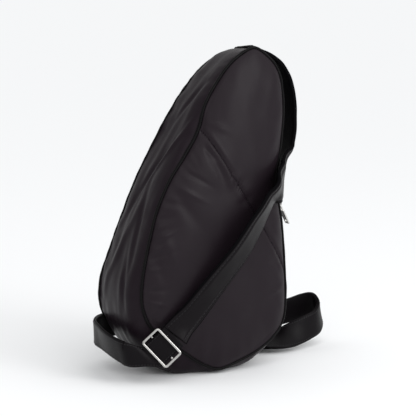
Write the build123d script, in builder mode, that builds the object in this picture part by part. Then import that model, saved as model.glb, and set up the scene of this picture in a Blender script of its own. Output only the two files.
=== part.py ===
"""Teardrop sling bag: padded shell, zip, wide shoulder strap, webbing and
tri-glide adjuster, one STEP file per sewn or cast piece.

Millimetres, +Z up.  The origin is the centre of the flat base the bag stands
on, the front panel faces -Y and +X is to the right seen from the front.
"""
import math
import os

from build123d import *

os.makedirs("parts", exist_ok=True)

# ---------------------------------------------------------------- dimensions
FRONT_Y0, FRONT_LEAN = -60.0, 0.08      # front plane  y = y0 + lean * z
BACK_Y0, BACK_LEAN = 50.0, -0.05        # back plane
SHELL_T = 2.2                           # padded fabric wall
LINING_T = 0.8
PIPING_R = 1.9
GAP = 0.3
FRONT_CROWN, BACK_CROWN = 15.0, 12.0

ZIP_X = 111.0                           # outer face of the right gusset
ZIP_Y0 = FRONT_Y0 + 17.0                # zip runs parallel to the front plane
ZIP_Z = 190.0
ZIP_LOW, ZIP_HIGH = -108.0, 15.0         # chain ends, along the zip from ZIP_Z
COIL_GAP = 1.2

WEB_W, WEB_T = 32.0, 1.8
WIRE_R = 1.6                            # metal rings
BUCKLE_L, BUCKLE_S = 43.0, 28.0         # tri-glide, outside
ANCHOR_L, ANCHOR_S = 41.0, 20.2         # lower ring, outside

# outlines as (x, z), clockwise from the bottom, seen from the front
FRONT = [(8, 6), (-15, 15), (-38, 31), (-60, 47), (-78, 62), (-88, 79),
         (-92.5, 98), (-91, 121), (-85.5, 147), (-78, 174), (-67.5, 206),
         (-49, 241), (-27, 270), (-8, 299), (2, 328), (17, 352), (36, 375),
         (56, 390), (75, 397), (92, 387), (105, 373), (112, 352), (113, 315),
         (107, 272), (99.5, 231), (105.5, 178), (107.5, 124), (107.3, 82),
         (102, 55), (86, 36), (62, 21.5), (34, 11.5)]
BACK = [(8, 4), (-15, 8), (-40, 18), (-64, 32), (-86, 49), (-99, 69),
        (-104, 92), (-101, 118), (-91, 146), (-80, 175), (-67.5, 207),
        (-53, 240), (-37, 270), (-21, 299), (-4, 326), (13, 349), (30, 367),
        (48, 380), (66, 384.5), (84, 381), (98, 369), (106, 350), (107.8, 315),
        (108.6, 270), (108.4, 225), (107.6, 175), (107, 120), (105, 77),
        (97, 46), (80, 25), (56, 11), (32, 5)]
MID = [(8, -1.5), (-15, -1.5), (-40, -1.0), (-65, 12), (-88, 36), (-102, 62),
       (-106, 92), (-104, 119), (-94, 147), (-83.5, 176), (-72, 208),
       (-55.5, 242), (-36, 273), (-18, 302), (-3, 331), (14, 354.5),
       (33, 375), (53, 389), (74, 393), (91, 386), (104, 374), (110.5, 354),
       (111, 315), (110, 270), (109, 231), (111, 196), (111.1, 122),
       (111, 75), (102, 44), (83, 18), (56, 1.5), (32, -1.5)]

# strap edges, near edge then far edge, from the root at the top of the bag
STRAP = [
    ((78.0, -23.5, 396.2), (76.0, 24.5, 393.4), 3.4),
    ((90.0, -23.8, 391.4), (89.0, 24.6, 388.6), 4.4),
    ((100.0, -24.4, 387.4), (99.5, 25.0, 384.4), 5.0),
    ((109.0, -25.0, 382.0), (108.6, 25.0, 379.4), 5.0),
    ((117.3, -25.0, 375.6), (117.3, 25.0, 373.0), 5.0),
    ((124.2, -25.0, 366.6), (124.2, 25.0, 364.2), 5.0),
    ((130.0, -25.2, 356.0), (130.0, 24.8, 353.8), 5.0),
    ((134.3, -26.0, 340.2), (134.3, 24.0, 338.2), 5.0),
    ((136.6, -26.5, 323.5), (137.6, 23.4, 321.5), 5.0),
    ((136.8, -27.0, 307.8), (139.8, 22.8, 305.8), 5.0),
    ((135.4, -29.0, 287.6), (141.4, 20.6, 285.6), 5.0),
    ((127.3, -34.0, 266.5), (139.9, 14.3, 263.5), 5.0),
    ((112.0, -43.5, 251.4), (131.6, 1.9, 245.4), 5.0),
    ((96.8, -64.6, 236.6), (121.8, -23.9, 227.2), 4.4),
    ((77.0, -82.8, 228.4), (101.0, -57.0, 219.2), 4.6),
    ((61.0, -88.6, 219.6), (84.4, -60.0, 206.3), 4.8),
    ((49.2, -92.2, 207.7), (73.6, -63.4, 190.0), 4.8),
    ((34.6, -92.2, 190.9), (60.8, -67.4, 170.5), 4.8),
    ((14.2, -92.0, 165.4), (40.5, -72.4, 144.0), 4.6),
    ((-4.7, -89.0, 144.1), (20.5, -73.6, 122.0), 4.4),
    ((-26.6, -84.0, 119.2), (-3.0, -74.2, 96.4), 4.2),
    ((-46.5, -76.8, 94.4), (-25.0, -74.6, 71.6), 3.9),
    ((-60.0, -71.8, 81.2), (-40.6, -77.8, 58.0), 3.5),
    ((-69.3, -68.3, 71.4), (-50.9, -82.4, 47.8), 3.0),
]

# webbing: centre and width direction, from the adjuster to the lower ring
BUCKLE_C = Vector(-75.2, -70.0, 44.6)
BUCKLE_T = Vector(-0.688, 0.243, -0.683).normalized()   # along the webbing
BUCKLE_W = Vector(0.558, -0.425, -0.713).normalized()   # across it
BUCKLE_N = BUCKLE_T.cross(BUCKLE_W).normalized()        # out of the bag
RING_B = Vector(98.0, 17.0, 8.6)                        # lower ring, webbing bar
RING_W = Vector(-0.25, -0.967, 0.03).normalized()
RING_T = Vector(-0.967, 0.25, 0.0).normalized()         # towards the bag
WEB = [
    ((-100.8, -61.0, 36.3), (0.466, -0.270, -0.843)),
    ((-113.9, -54.5, 37.8), (0.260, -0.088, -0.961)),
    ((-118.8, -38.0, 40.4), (0.270, -0.060, -0.960)),
    ((-121.0, -16.0, 43.6), (0.250, -0.050, -0.967)),
    ((-119.0, 10.0, 46.0), (0.180, 0.000, -0.984)),
    ((-114.5, 35.0, 47.0), (0.050, 0.050, -0.998)),
    ((-95.0, 58.0, 47.0), (0.000, 0.080, -0.997)),
    ((-58.0, 68.0, 46.5), (0.000, 0.060, -0.998)),
    ((-15.0, 70.0, 45.0), (0.000, 0.000, -1.000)),
    ((35.0, 69.0, 42.0), (0.000, 0.000, -1.000)),
    ((80.0, 65.5, 38.5), (0.030, 0.000, -0.999)),
    ((125.0, 59.5, 35.5), (0.060, 0.000, -0.998)),
    ((158.0, 53.0, 37.0), (0.110, 0.000, -0.994)),
    ((179.5, 48.0, 42.0), (0.217, 0.000, -0.976)),
    ((195.5, 42.5, 47.5), (0.320, 0.000, -0.947)),
    ((205.0, 33.5, 49.5), (0.330, -0.020, -0.943)),
    ((205.0, 19.5, 41.4), (0.161, -0.069, -0.985)),
    ((193.5, 8.0, 32.0), (0.029, -0.098, -0.995)),
    ((173.5, 3.0, 26.0), (-0.078, -0.223, -0.972)),
    ((153.7, 1.6, 20.6), (-0.181, -0.478, -0.860)),
    ((137.2, 3.0, 15.6), (-0.310, -0.741, -0.595)),
    ((123.0, 7.5, 11.4), (-0.330, -0.915, -0.230)),
    ((111.0, 13.0, 9.4), (-0.290, -0.956, 0.010)),
]


# ------------------------------------------------------------------- helpers
def skin(y0, lean, d=0.0):
    """Plane y = y0 + lean * z moved d towards -Y; sketch x = X, sketch y = up."""
    n = Vector(0, -1, lean).normalized()
    o = Vector(0, y0, 0) + n * d
    return Plane(origin=(o.X, o.Y, o.Z), x_dir=(1, 0, 0), z_dir=(n.X, n.Y, n.Z))


def front_plane(d=0.0):
    return skin(FRONT_Y0, FRONT_LEAN, d)


def back_plane(d=0.0):
    return skin(BACK_Y0, BACK_LEAN, -d)


def inset(pts, d):
    """Outline moved inwards by d (points run clockwise seen from the front)."""
    out, n = [], len(pts)
    for i in range(n):
        ax, az = pts[i - 1]
        bx, bz = pts[(i + 1) % n]
        tx, tz = bx - ax, bz - az
        q = math.hypot(tx, tz)
        out.append((pts[i][0] + d * tz / q, pts[i][1] - d * tx / q))
    return out


def scaled(pts, k, cx, cz):
    return [(cx + k * (x - cx), cz + k * (z - cz)) for x, z in pts]


def section(f):
    """Outline of the gusset band at f = 0 (front) .. 1 (back)."""
    s = 1.0 - abs(2.0 * f - 1.0) ** 8
    out = []
    for a, b, m in zip(FRONT, BACK, MID):
        ex, ez = a[0] + (b[0] - a[0]) * f, a[1] + (b[1] - a[1]) * f
        out.append((ex + (m[0] - ex) * s, ez + (m[1] - ez) * s))
    return out


def section_plane(f):
    return skin(FRONT_Y0 + (BACK_Y0 - FRONT_Y0) * f,
                FRONT_LEAN + (BACK_LEAN - FRONT_LEAN) * f)


BAND_F = (0.12, 0.26, 0.50, 0.74, 0.88)
SEAM_D = 3.3                            # gusset edge behind the panel plane


def band(depth):
    """Closed barrel that follows the gusset, its side moved in by depth."""
    stations = [(0.035, front_plane(-SEAM_D))]
    stations += [(f, section_plane(f)) for f in BAND_F]
    stations += [(0.965, back_plane(-SEAM_D))]
    with BuildPart() as b:
        for f, plane in stations:
            with BuildSketch(plane):
                with BuildLine():
                    Polyline(*inset(section(f), depth), close=True)
                make_face()
        loft(ruled=True)
    return b.part


def dome(plane_of, outline, crown, drop, cx, cz):
    """Crowned panel solid, its base lowered by drop."""
    with BuildPart() as b:
        for k, h in ((1.0, 0.0), (0.93, 0.36), (0.80, 0.68), (0.60, 0.88),
                     (0.35, 1.0)):
            with BuildSketch(plane_of(h * crown - drop)):
                with BuildLine():
                    Polyline(*scaled(outline, k, cx, cz), close=True)
                make_face()
        loft(ruled=True)
    return b.part


def at(c, w, n):
    """Ribbon section plane: sketch x along w, sketch y along n."""
    t = w.cross(n)
    return Plane(origin=(c.X, c.Y, c.Z), x_dir=(w.X, w.Y, w.Z),
                 z_dir=(t.X, t.Y, t.Z))


def smooth(points, steps):
    """Catmull-Rom through a list of equal-length tuples."""
    out, n = [], len(points)
    for i in range(n - 1):
        p0 = points[max(i - 1, 0)]
        p1, p2 = points[i], points[i + 1]
        p3 = points[min(i + 2, n - 1)]
        for j in range(steps):
            u = j / steps
            out.append(tuple(
                0.5 * (2 * b + (c - a) * u + (2 * a - 5 * b + 4 * c - d) * u * u
                       + (3 * b - a - 3 * c + d) * u ** 3)
                for a, b, c, d in zip(p0, p1, p2, p3)))
    out.append(tuple(points[-1]))
    return out


def frames(centres, widths, sheared=0):
    """(centre, width, normal) triples along a ribbon; the first ones keep
    their own width direction, where the ribbon turns within its own plane."""
    out, n = [], len(centres)
    for i in range(n):
        t = (centres[min(i + 1, n - 1)] - centres[max(i - 1, 0)]).normalized()
        w = widths[i]
        if i >= sheared:
            w = (w - t * w.dot(t)).normalized()
        out.append((centres[i], w, t.cross(w).normalized()))
    return out


# --------------------------------------------------------------- padded shell
outer = band(0.0)
inner = band(SHELL_T)

with BuildPart() as wall:
    add(outer)
    add(inner, mode=Mode.SUBTRACT)
    with Locations((0, 0, -50)):
        Box(600, 400, 100, mode=Mode.SUBTRACT)
wall_solid = wall.part

CUT_X, CUT_Z = 88.0, 62.0

with BuildPart() as left_gusset:
    add(wall_solid)
    with Locations((-50 + 500, 0, CUT_Z - 300)):
        Box(1000, 400, 600, mode=Mode.SUBTRACT)
    with Locations((CUT_X + 500, 0, CUT_Z + 500)):
        Box(1000, 400, 1010, mode=Mode.SUBTRACT)
left_gusset.part.label = "left_gusset"

with BuildPart() as bottom_gusset:
    add(wall_solid)
    with Locations((-50 + GAP + 500, 0, CUT_Z - GAP - 300)):
        Box(1000, 400, 600, mode=Mode.INTERSECT)
bottom_gusset.part.label = "bottom_gusset"

zip_n = Vector(0, -1, FRONT_LEAN).normalized()
zip_k = Vector(0, FRONT_LEAN, 1).normalized()
zip_o = Vector(ZIP_X, ZIP_Y0 + FRONT_LEAN * ZIP_Z, ZIP_Z)
# sketch x = backwards across the zip, sketch y = up the zip, normal = out
zip_plane = Plane(origin=(zip_o.X, zip_o.Y, zip_o.Z),
                  x_dir=(-zip_n.X, -zip_n.Y, -zip_n.Z), z_dir=(1, 0, 0))
SLOT_HALF = 6.6
SLOT_LOW, SLOT_HIGH = ZIP_LOW - 6.0, ZIP_HIGH + 5.0

with BuildPart() as right_side:
    add(wall_solid)
    with Locations((CUT_X + GAP + 500, 0, CUT_Z + 500)):
        Box(1000, 400, 1000, mode=Mode.INTERSECT)
    with Locations(zip_plane):
        with Locations((0, (SLOT_LOW + SLOT_HIGH) / 2, 0)):
            Box(2 * SLOT_HALF, SLOT_HIGH - SLOT_LOW, 30, mode=Mode.SUBTRACT)
right_solid = right_side.part

with BuildPart() as right_gusset_front:
    add(right_solid)
    with Locations(zip_plane):
        with Locations((500 - GAP / 2, 0, 0)):
            Box(1000, 1200, 600, mode=Mode.SUBTRACT)
right_gusset_front.part.label = "right_gusset_front"

with BuildPart() as right_gusset_back:
    add(right_solid)
    with Locations(zip_plane):
        with Locations((-500 + GAP / 2, 0, 0)):
            Box(1000, 1200, 600, mode=Mode.SUBTRACT)
right_gusset_back.part.label = "right_gusset_back"

# front panel: crowned, two cloth pieces joined along a diagonal seam
RIM = 2.7
fx, fz = 12.0, 195.0
front_outer = dome(front_plane, inset(FRONT, RIM), FRONT_CROWN, 0.0, fx, fz)
front_inner = dome(front_plane, inset(FRONT, RIM), FRONT_CROWN, SHELL_T, fx, fz)
seam = Plane(origin=(50.6, -60, 209), x_dir=(0.529, 0, -0.848),
             z_dir=(0.848, 0, 0.529))

with BuildPart() as front_panel_upper:
    add(front_outer)
    add(front_inner, mode=Mode.SUBTRACT)
    with Locations(seam):
        with Locations((0, 0, 500 + GAP / 2)):
            Box(1000, 1000, 1000, mode=Mode.INTERSECT)
front_panel_upper.part.label = "front_panel_upper"

with BuildPart() as front_panel_lower:
    add(front_outer)
    add(front_inner, mode=Mode.SUBTRACT)
    with Locations(seam):
        with Locations((0, 0, -500 - GAP / 2)):
            Box(1000, 1000, 1000, mode=Mode.INTERSECT)
front_panel_lower.part.label = "front_panel_lower"

with BuildPart() as front_padding:
    add(dome(front_plane, inset(FRONT, RIM + 1.0), FRONT_CROWN,
             SHELL_T + 0.6, fx, fz))
    with Locations(front_plane(-2.6 - 50)):
        Box(1000, 1200, 100, mode=Mode.SUBTRACT)
front_padding.part.label = "front_padding"

with BuildPart() as back_panel:
    add(dome(back_plane, inset(BACK, RIM), BACK_CROWN, 0.0, fx, fz))
    add(dome(back_plane, inset(BACK, RIM), BACK_CROWN, SHELL_T, fx, fz),
        mode=Mode.SUBTRACT)
back_panel.part.label = "back_panel"

with BuildPart() as back_padding:
    add(dome(back_plane, inset(BACK, RIM + 1.0), BACK_CROWN,
             SHELL_T + 0.6, fx, fz))
    with Locations(back_plane(-2.6 - 50)):
        Box(1000, 1200, 100, mode=Mode.SUBTRACT)
back_padding.part.label = "back_padding"

# corded piping round both panels
with BuildPart() as front_piping:
    with BuildLine(front_plane(-1.0)) as ring_a:
        FilletPolyline(*FRONT, radius=9.0, close=True)
    with BuildSketch(Plane(origin=ring_a.wires()[0] @ 0,
                           z_dir=ring_a.wires()[0] % 0)):
        Circle(PIPING_R)
    sweep(path=ring_a.wires()[0])
front_piping.part.label = "front_piping"

with BuildPart() as back_piping:
    with BuildLine(back_plane(-1.0)) as ring_b:
        FilletPolyline(*BACK, radius=9.0, close=True)
    with BuildSketch(Plane(origin=ring_b.wires()[0] @ 0,
                           z_dir=ring_b.wires()[0] % 0)):
        Circle(PIPING_R)
    sweep(path=ring_b.wires()[0])
back_piping.part.label = "back_piping"

# ------------------------------------------------------------------- interior
LIN = 8.0                               # lining hangs clear of the shell


def bag_liner(depth, f0, f1):
    """Plain straight-sided bag inside the shell."""
    with BuildPart() as b:
        for f in (f0, f1):
            with BuildSketch(section_plane(f)):
                with BuildLine():
                    Polyline(*inset(section(0.12 if f < 0.5 else 0.88),
                                    depth)[::2], close=True)
                make_face()
        loft(ruled=True)
    return b.part


with BuildPart() as lining:
    add(bag_liner(LIN, 0.14, 0.86))
    add(bag_liner(LIN + LINING_T, 0.152, 0.848), mode=Mode.SUBTRACT)
    with Locations(zip_plane):
        with Locations((0, (SLOT_LOW + SLOT_HIGH) / 2, 0)):
            Box(2 * 10.2, SLOT_HIGH - SLOT_LOW + 6, 60, mode=Mode.SUBTRACT)
lining.part.label = "lining"

with BuildPart() as base_board:
    with Locations((4, -2, 3.6)):
        Box(70, 56, 1.8)
base_board.part.label = "base_board"

with BuildPart() as inner_pocket:
    with Locations(back_plane(-10.6)):
        with Locations((18, 180, 0)):
            Box(112, 100, 1.0)
inner_pocket.part.label = "inner_pocket"

# ------------------------------------------------------------------------ zip
TAPE_TOP, TAPE_T, TAPE_HALF = -4.7, 0.7, 9.4
COIL_W, COIL_T = 2.4, 2.0
zip_len = ZIP_HIGH - ZIP_LOW
zip_mid = (ZIP_HIGH + ZIP_LOW) / 2


def zip_box(x0, x1, y0, y1, z0, z1, mode=Mode.ADD):
    with Locations(zip_plane):
        with Locations(((x0 + x1) / 2, (y0 + y1) / 2, (z0 + z1) / 2)):
            Box(x1 - x0, y1 - y0, z1 - z0, mode=mode)


half = COIL_GAP / 2
with BuildPart() as zip_tape_front:
    zip_box(-TAPE_HALF, -half, ZIP_LOW - 5, ZIP_HIGH + 4, TAPE_TOP - TAPE_T, TAPE_TOP)
zip_tape_front.part.label = "zip_tape_front"
with BuildPart() as zip_tape_back:
    zip_box(half, TAPE_HALF, ZIP_LOW - 5, ZIP_HIGH + 4, TAPE_TOP - TAPE_T, TAPE_TOP)
zip_tape_back.part.label = "zip_tape_back"

COIL_Z0 = TAPE_TOP + 0.05
with BuildPart() as zip_coil_front:
    zip_box(-half - COIL_W, -half, ZIP_LOW, ZIP_HIGH, COIL_Z0, COIL_Z0 + COIL_T)
zip_coil_front.part.label = "zip_coil_front"
with BuildPart() as zip_coil_back:
    zip_box(half, half + COIL_W, ZIP_LOW, ZIP_HIGH, COIL_Z0, COIL_Z0 + COIL_T)
zip_coil_back.part.label = "zip_coil_back"

with BuildPart() as zip_stop_low:
    zip_box(-3.4, 3.4, ZIP_LOW - 4.2, ZIP_LOW - GAP, COIL_Z0, COIL_Z0 + 2.0)
zip_stop_low.part.label = "zip_stop_low"
with BuildPart() as zip_stop_high:
    zip_box(-3.4, 3.4, ZIP_HIGH + GAP, ZIP_HIGH + 3.4, COIL_Z0, COIL_Z0 + 2.0)
zip_stop_high.part.label = "zip_stop_high"

SLIDER_Y = 8.5                      # slider centre along the zip
SL = 6.0                            # half length
top_z = COIL_Z0 + COIL_T + GAP
with BuildPart() as zip_slider:
    zip_box(-4.2, 4.2, SLIDER_Y - SL, SLIDER_Y + SL, top_z, top_z + 1.3)
    zip_box(-4.0, 4.0, SLIDER_Y - SL, SLIDER_Y + SL,
            TAPE_TOP - TAPE_T - GAP - 1.2, TAPE_TOP - TAPE_T - GAP)
    zip_box(-0.3, 0.3, SLIDER_Y + 1.0, SLIDER_Y + SL - 1.0,
            TAPE_TOP - TAPE_T - GAP - 0.5, top_z + 0.5)
    zip_box(-4.2, -half - COIL_W - GAP, SLIDER_Y - SL, SLIDER_Y + SL,
            TAPE_TOP + GAP, top_z + 0.5)
    zip_box(half + COIL_W + GAP, 4.2, SLIDER_Y - SL, SLIDER_Y + SL,
            TAPE_TOP + GAP, top_z + 0.5)
    # bail the pull hangs from
    for s in (-1, 1):
        zip_box(-0.9, 0.9, SLIDER_Y + s * 3.6 - 0.8, SLIDER_Y + s * 3.6 + 0.8,
                top_z + 1.0, 4.9)
    zip_box(-0.9, 0.9, SLIDER_Y - 4.4, SLIDER_Y + 4.4, 3.75, 4.9)
zip_slider.part.label = "zip_slider"

# pull: a slim plate on a wire eye, hanging from the bail
PULL_Z = 2.2                        # hinge height over the gusset
PULL_Y = SLIDER_Y - 0.6
PULL_TILT = 26.0
pull_o = zip_o + zip_k * PULL_Y + Vector(PULL_Z, 0, 0)
tilt = math.radians(PULL_TILT)
pull_dir = Vector(math.sin(tilt), 0, -math.cos(tilt))
pull_plane = Plane(origin=(pull_o.X, pull_o.Y, pull_o.Z), x_dir=(0, 1, 0),
                   z_dir=tuple(Vector(0, 1, 0).cross(pull_dir)))
with BuildPart() as zip_pull:
    with BuildSketch(pull_plane):
        with Locations((0, 4.7)):
            Rectangle(6.4, 9.4)
        with Locations((0, 17.5)):
            Rectangle(9.0, 19.0)
        with Locations((0, 4.2)):
            Rectangle(3.6, 6.8, mode=Mode.SUBTRACT)
        with Locations((0, 23.0)):
            Circle(1.6, mode=Mode.SUBTRACT)
    extrude(amount=0.75, both=True)
    # round bar of the eye, on the hinge line
    with Locations(Plane(origin=(pull_o.X, pull_o.Y, pull_o.Z),
                         x_dir=(0, 0, 1), z_dir=(0, 1, 0))):
        Cylinder(0.9, 6.4)
zip_pull.part.label = "zip_pull"

# ---------------------------------------------------------------------- strap
rows = smooth([(*a, *b, t) for a, b, t in STRAP], 1)
near = [Vector(*r[0:3]) for r in rows]
far = [Vector(*r[3:6]) for r in rows]
thick = [r[6] for r in rows]
mid = [(a + b) * 0.5 for a, b in zip(near, far)]
strap_frames = frames(mid, [(b - a).normalized() for a, b in zip(near, far)])
strap_w = [(b - a).length for a, b in zip(near, far)]


def ribbon(stations):
    """Ruled loft through (plane, width, thickness, sketch-y offset)."""
    with BuildPart() as b:
        for pl, w, t, off in stations:
            with BuildSketch(pl):
                with Locations((0, off)):
                    Rectangle(w, t)
        loft(ruled=True)
    return b.part


COVER = 0.9
with BuildPart() as strap_cover_outer:
    add(ribbon([(at(*f), w, COVER, t / 2 - COVER / 2)
                for f, w, t in zip(strap_frames, strap_w, thick)]))
strap_cover_outer.part.label = "strap_cover_outer"
with BuildPart() as strap_cover_inner:
    add(ribbon([(at(*f), w, COVER, -t / 2 + COVER / 2)
                for f, w, t in zip(strap_frames, strap_w, thick)]))
strap_cover_inner.part.label = "strap_cover_inner"
with BuildPart() as strap_foam:
    add(ribbon([(at(*f), w - 5.0, t - 2 * COVER - 0.4, 0.0)
                for f, w, t in zip(strap_frames, strap_w, thick)]))
strap_foam.part.label = "strap_foam"

# -------------------------------------------------------------------- webbing
pts = [(*tuple(BUCKLE_C - BUCKLE_T * 19.0), *tuple(BUCKLE_W)),
       (*tuple(BUCKLE_C), *tuple(BUCKLE_W)),
       (*tuple(BUCKLE_C + BUCKLE_T * 17.0), *tuple(BUCKLE_W))]
body = [(*c, *w) for c, w in WEB]
tail = [(*tuple(RING_B), *tuple(RING_W))]
rows = smooth([pts[2]] + body + tail, 2)
centres = [Vector(*r[0:3]) for r in rows]
widths = [Vector(*r[3:6]).normalized() for r in rows]
web_frames = frames(centres, widths, 5)
web_frames[0] = (centres[0], BUCKLE_W, BUCKLE_N)
N = len(web_frames)
path = [0.0]
for a, b in zip(centres, centres[1:]):
    path.append(path[-1] + (b - a).length)
total = path[-1]


def spread(i):
    """Distance of each run from the shared centre line."""
    s = path[i]
    near_ring = max(0.0, 1.0 - (total - s) / 26.0)
    return 1.15 + 3.25 * near_ring * near_ring * (3 - 2 * near_ring)


def ramp(i):
    s = min(1.0, path[i] / 14.0)
    return s * s * (3 - 2 * s)


outer_run = [(at(BUCKLE_C + BUCKLE_T * s, BUCKLE_W, BUCKLE_N), WEB_W, WEB_T, 0.0)
             for s in (-20.6, -10.0, 0.0, 10.0)]
outer_run += [(at(*f), WEB_W, WEB_T, spread(i) * ramp(i))
              for i, f in enumerate(web_frames[:-1])]
c, w, n = web_frames[-1]
t = w.cross(n) * -1.0
t = RING_T
n = t.cross(RING_W).normalized()
turn = []
for k in range(0, 7):
    a = math.pi * k / 6
    radial = n * math.cos(a) + t * math.sin(a)
    turn.append((at(RING_B, RING_W, radial), WEB_W, WEB_T, spread(N - 1)))
outer_run += turn
inner_run = [(at(f[0], f[1], f[2] * -1.0), WEB_W, WEB_T, spread(i))
             for i, f in enumerate(web_frames[:-1]) if path[i] > 8.0]
inner_run.reverse()
with BuildPart() as strap_webbing:
    add(ribbon(outer_run + inner_run))
strap_webbing.part.label = "strap_webbing"

# ------------------------------------------------------------ tri-glide buckle
buckle_plane = Plane(origin=tuple(BUCKLE_C), x_dir=tuple(BUCKLE_W),
                     z_dir=tuple(BUCKLE_N))
FRAME_N = WEB_T / 2 + 0.9 + WIRE_R
BAR_N, BAR_R = -4.3, 1.25


def wire_ring(plane, length, short, r):
    """Rounded rectangular ring of round wire, centred on the plane origin."""
    with BuildPart() as b:
        with BuildLine(plane) as line:
            FilletPolyline(
                (-(length / 2 - r), -(short / 2 - r)),
                (-(length / 2 - r), short / 2 - r),
                (length / 2 - r, short / 2 - r),
                (length / 2 - r, -(short / 2 - r)), radius=2.4, close=True)
        with BuildSketch(Plane(origin=line.wires()[0] @ 0,
                               z_dir=line.wires()[0] % 0)):
            Circle(r)
        sweep(path=line.wires()[0])
    return b.part


def shift(plane, v):
    return Plane(origin=plane.origin + v, x_dir=plane.x_dir, z_dir=plane.z_dir)


with BuildPart() as adjuster_frame:
    add(wire_ring(shift(buckle_plane, BUCKLE_N * FRAME_N), BUCKLE_L, BUCKLE_S, WIRE_R))
adjuster_frame.part.label = "adjuster_frame"

POST_X = BUCKLE_L / 2 - WIRE_R
with BuildPart() as adjuster_bar:
    with BuildSketch(Plane(origin=tuple(BUCKLE_C + BUCKLE_N * BAR_N - BUCKLE_W * (POST_X + BAR_R)),
                           z_dir=tuple(BUCKLE_W))):
        Circle(BAR_R)
    extrude(amount=2 * (POST_X + BAR_R))
    for s in (-1, 1):
        with BuildSketch(Plane(origin=tuple(BUCKLE_C + BUCKLE_N * (BAR_N - BAR_R) + BUCKLE_W * (s * POST_X)),
                               z_dir=tuple(BUCKLE_N))):
            Circle(BAR_R)
        extrude(amount=FRAME_N - WIRE_R - BAR_N + BAR_R)
adjuster_bar.part.label = "adjuster_bar"

# short webbing loop sewn round the centre bar
with BuildPart() as adjuster_loop:
    loop_plane = Plane(origin=tuple(BUCKLE_C + BUCKLE_N * BAR_N - BUCKLE_W * (WEB_W / 2)),
                       x_dir=tuple(BUCKLE_T), z_dir=tuple(BUCKLE_W))
    with BuildSketch(loop_plane) as prof:
        Circle(BAR_R + 1.6)
        with Locations((8.5, 0)):
            Rectangle(17.0, 2.8)
        Circle(BAR_R + 0.06, mode=Mode.SUBTRACT)
    extrude(amount=WEB_W)
adjuster_loop.part.label = "adjuster_loop"

# ------------------------------------------------------------ lower ring, tab
ring_n = RING_T.cross(RING_W).normalized()
ring_c = RING_B + RING_T * (ANCHOR_S / 2 - WIRE_R)
ring_plane = Plane(origin=tuple(ring_c), x_dir=tuple(RING_W), z_dir=tuple(ring_n))
with BuildPart() as anchor_ring:
    add(wire_ring(ring_plane, ANCHOR_L, ANCHOR_S, WIRE_R))
anchor_ring.part.label = "anchor_ring"

tab_b = RING_B + RING_T * (ANCHOR_S - 2 * WIRE_R)
with BuildPart() as anchor_tab:
    with BuildSketch(Plane(origin=tuple(tab_b - RING_W * 15.5),
                           x_dir=tuple(RING_T), z_dir=tuple(RING_W))):
        Circle(WIRE_R + 2.0)
        with Locations((3.2, -0.6)):
            Rectangle(5.8, 2.6)
        Circle(WIRE_R + 0.4, mode=Mode.SUBTRACT)
    extrude(amount=31.0)
anchor_tab.part.label = "anchor_tab"

# -------------------------------------------------------------------- exports
for piece in (left_gusset, bottom_gusset, right_gusset_front, right_gusset_back,
              front_panel_upper, front_panel_lower, front_padding, back_panel,
              back_padding, front_piping, back_piping, lining, base_board,
              inner_pocket, zip_tape_front, zip_tape_back, zip_coil_front,
              zip_coil_back, zip_stop_low, zip_stop_high, zip_slider, zip_pull,
              strap_cover_outer, strap_cover_inner, strap_foam, strap_webbing,
              adjuster_frame, adjuster_bar, adjuster_loop, anchor_ring,
              anchor_tab):
    export_step(piece.part, "parts/" + piece.part.label + ".step")
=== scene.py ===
import math

import bmesh
import bpy
import numpy as np
from mathutils import Matrix, Vector, noise


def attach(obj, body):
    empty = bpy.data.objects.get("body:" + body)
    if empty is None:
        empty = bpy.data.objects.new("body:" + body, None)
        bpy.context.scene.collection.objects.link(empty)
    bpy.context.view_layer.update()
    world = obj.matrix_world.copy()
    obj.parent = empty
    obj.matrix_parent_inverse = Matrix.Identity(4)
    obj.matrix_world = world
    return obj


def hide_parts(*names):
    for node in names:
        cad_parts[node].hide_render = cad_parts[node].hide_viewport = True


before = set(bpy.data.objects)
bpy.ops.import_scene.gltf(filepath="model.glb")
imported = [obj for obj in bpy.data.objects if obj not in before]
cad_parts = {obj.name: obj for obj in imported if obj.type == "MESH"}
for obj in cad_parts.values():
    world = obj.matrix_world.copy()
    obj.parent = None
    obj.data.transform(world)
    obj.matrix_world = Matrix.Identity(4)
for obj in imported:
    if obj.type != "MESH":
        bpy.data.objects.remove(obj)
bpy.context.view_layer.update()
MM = 0.001

# ------------------------------------------------------------------ geometry
FRONT_Y0, FRONT_LEAN = -60.0, 0.08
BACK_Y0, BACK_LEAN = 50.0, -0.05
FRONT_CROWN, BACK_CROWN = 15.0, 12.0
ZIP_X, ZIP_Y0, ZIP_Z = 111.0, -43.0, 190.0
ZIP_LOW, ZIP_HIGH = -108.0, 15.0
SLOT_LOW, SLOT_HIGH, SLOT_HALF = ZIP_LOW - 6.0, ZIP_HIGH + 5.0, 6.6
FRONT = [(8, 6), (-15, 15), (-38, 31), (-60, 47), (-78, 62), (-88, 79),
         (-92.5, 98), (-91, 121), (-85.5, 147), (-78, 174), (-67.5, 206),
         (-49, 241), (-27, 270), (-8, 299), (2, 328), (17, 352), (36, 375),
         (56, 390), (75, 397), (92, 387), (105, 373), (112, 352), (113, 315),
         (107, 272), (99.5, 231), (105.5, 178), (107.5, 124), (107.3, 82),
         (102, 55), (86, 36), (62, 21.5), (34, 11.5)]
BACK = [(8, 4), (-15, 8), (-40, 18), (-64, 32), (-86, 49), (-99, 69),
        (-104, 92), (-101, 118), (-91, 146), (-80, 175), (-67.5, 207),
        (-53, 240), (-37, 270), (-21, 299), (-4, 326), (13, 349), (30, 367),
        (48, 380), (66, 384.5), (84, 381), (98, 369), (106, 350), (107.8, 315),
        (108.6, 270), (108.4, 225), (107.6, 175), (107, 120), (105, 77),
        (97, 46), (80, 25), (56, 11), (32, 5)]
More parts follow.
